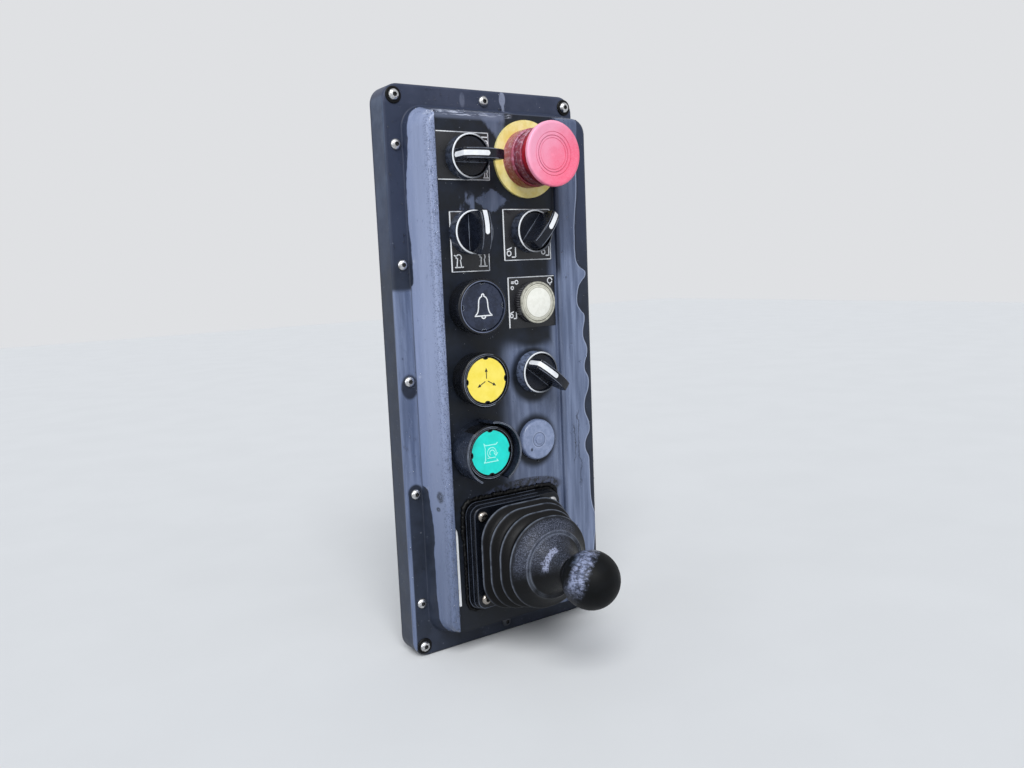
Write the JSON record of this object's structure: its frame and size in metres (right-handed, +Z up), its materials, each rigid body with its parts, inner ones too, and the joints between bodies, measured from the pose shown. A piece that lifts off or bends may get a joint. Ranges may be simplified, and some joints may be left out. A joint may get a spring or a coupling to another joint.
{
  "type": "vehicle operator control panel",
  "caption": "Wall-mounted operator panel for a working vehicle: tall moulded housing with rotary selectors, push-buttons, an emergency stop and a bellows joystick.",
  "frame": {"origin": "centre of the four corner screws, on the mounting plane at the rim of the housing's skirt", "axes": "+Z up the panel, its long way; -Y out of the front, towards the operator; +X to the operator's right"},
  "size_m": [0.157, 0.1521, 0.4],
  "materials": {
    "housing_plastic": "moulded, fine grain, wet",
    "black_plastic": "smooth moulded",
    "grey_lens": "smoky translucent",
    "cream_plastic": "smooth",
    "yellow_plastic": "smooth",
    "cyan_plastic": "smooth",
    "stop_red": "satin",
    "stop_dark_red": "satin",
    "grey_plastic": "satin",
    "contact_plastic": "moulded",
    "black_rubber": "grained, wet",
    "steel": "turned"
  },
  "bodies": {
    "panel": {"panel_shell": "housing_plastic", "selector_1_left_bezel": "black_plastic", "selector_1_left_locknut": "black_plastic", "selector_1_left_contacts": "contact_plastic", "selector_2_left_bezel": "black_plastic", "selector_2_left_locknut": "black_plastic", "selector_2_left_contacts": "contact_plastic", "selector_2_right_bezel": "black_plastic", "selector_2_right_locknut": "black_plastic", "selector_2_right_contacts": "contact_plastic", "selector_4_right_bezel": "black_plastic", "selector_4_right_locknut": "black_plastic", "selector_4_right_contacts": "contact_plastic", "bell_button_bezel": "black_plastic", "bell_button_locknut": "black_plastic", "bell_button_contacts": "contact_plastic", "yellow_button_bezel": "black_plastic", "yellow_button_locknut": "black_plastic", "yellow_button_contacts": "contact_plastic", "cyan_button_bezel": "black_plastic", "cyan_button_locknut": "black_plastic", "cyan_button_contacts": "contact_plastic", "white_button_bezel": "grey_lens", "white_button_locknut": "black_plastic", "white_button_contacts": "contact_plastic", "cyan_button_guard": "black_plastic", "stop_ring": "yellow_plastic", "stop_collar": "stop_dark_red", "stop_locknut": "black_plastic", "stop_contacts": "contact_plastic", "plug_cover": "grey_plastic", "plug_locknut": "black_plastic", "joystick_gasket": "black_rubber", "joystick_frame": "black_plastic", "joystick_bellows": "black_rubber", "joystick_mechanism": "black_plastic"},
    "selector_1_left_switch": {"selector_1_left_knob": "black_plastic"},
    "selector_2_left_switch": {"selector_2_left_knob": "black_plastic"},
    "selector_2_right_switch": {"selector_2_right_knob": "black_plastic"},
    "selector_4_right_switch": {"selector_4_right_knob": "black_plastic"},
    "bell_button_plunger": {"bell_button_cap": "black_plastic"},
    "yellow_button_plunger": {"yellow_button_cap": "yellow_plastic"},
    "cyan_button_plunger": {"cyan_button_cap": "cyan_plastic"},
    "white_button_plunger": {"white_button_cap": "cream_plastic"},
    "stop_mushroom": {"stop_head": "stop_red"},
    "joystick_lever": {"joystick_stick": "steel", "joystick_knob": "black_plastic"}
  },
  "joints": [
    {"name": "selector_1_left_turn", "type": "hinge", "parent": "panel", "child": "selector_1_left_switch", "pos_m": [-0.031, -0.0415, 0.15], "axis": [0, 1, 0], "range_deg": [-45, 45]},
    {"name": "selector_2_left_turn", "type": "hinge", "parent": "panel", "child": "selector_2_left_switch", "pos_m": [-0.031, -0.0415, 0.1], "axis": [0, 1, 0], "range_deg": [-45, 45]},
    {"name": "selector_2_right_turn", "type": "hinge", "parent": "panel", "child": "selector_2_right_switch", "pos_m": [0.019, -0.0415, 0.1], "axis": [0, 1, 0], "range_deg": [0, 80]},
    {"name": "selector_4_right_turn", "type": "hinge", "parent": "panel", "child": "selector_4_right_switch", "pos_m": [0.019, -0.0415, 0], "axis": [0, 1, 0], "range_deg": [-90, 0]},
    {"name": "bell_button_press", "type": "slide", "parent": "panel", "child": "bell_button_plunger", "axis": [0, 1, 0], "range_m": [0, 0.003], "stiffness_N_per_m": 1000, "springref_m": -0.003},
    {"name": "yellow_button_press", "type": "slide", "parent": "panel", "child": "yellow_button_plunger", "axis": [0, 1, 0], "range_m": [0, 0.003], "stiffness_N_per_m": 1000, "springref_m": -0.003},
    {"name": "cyan_button_press", "type": "slide", "parent": "panel", "child": "cyan_button_plunger", "axis": [0, 1, 0], "range_m": [0, 0.003], "stiffness_N_per_m": 1000, "springref_m": -0.003},
    {"name": "white_button_press", "type": "slide", "parent": "panel", "child": "white_button_plunger", "axis": [0, 1, 0], "range_m": [0, 0.003], "stiffness_N_per_m": 1000, "springref_m": -0.003},
    {"name": "stop_press", "type": "slide", "parent": "panel", "child": "stop_mushroom", "axis": [0, 1, 0], "range_m": [0, 0.004]},
    {"name": "joystick_tilt", "type": "hinge", "parent": "panel", "child": "joystick_lever", "pos_m": [-0.006, -0.0265, -0.1259], "axis": [1, 0, 0], "range_deg": [-20, 20], "stiffness_Nm_per_rad": 3, "deforming": ["joystick_bellows"]}
  ]
}
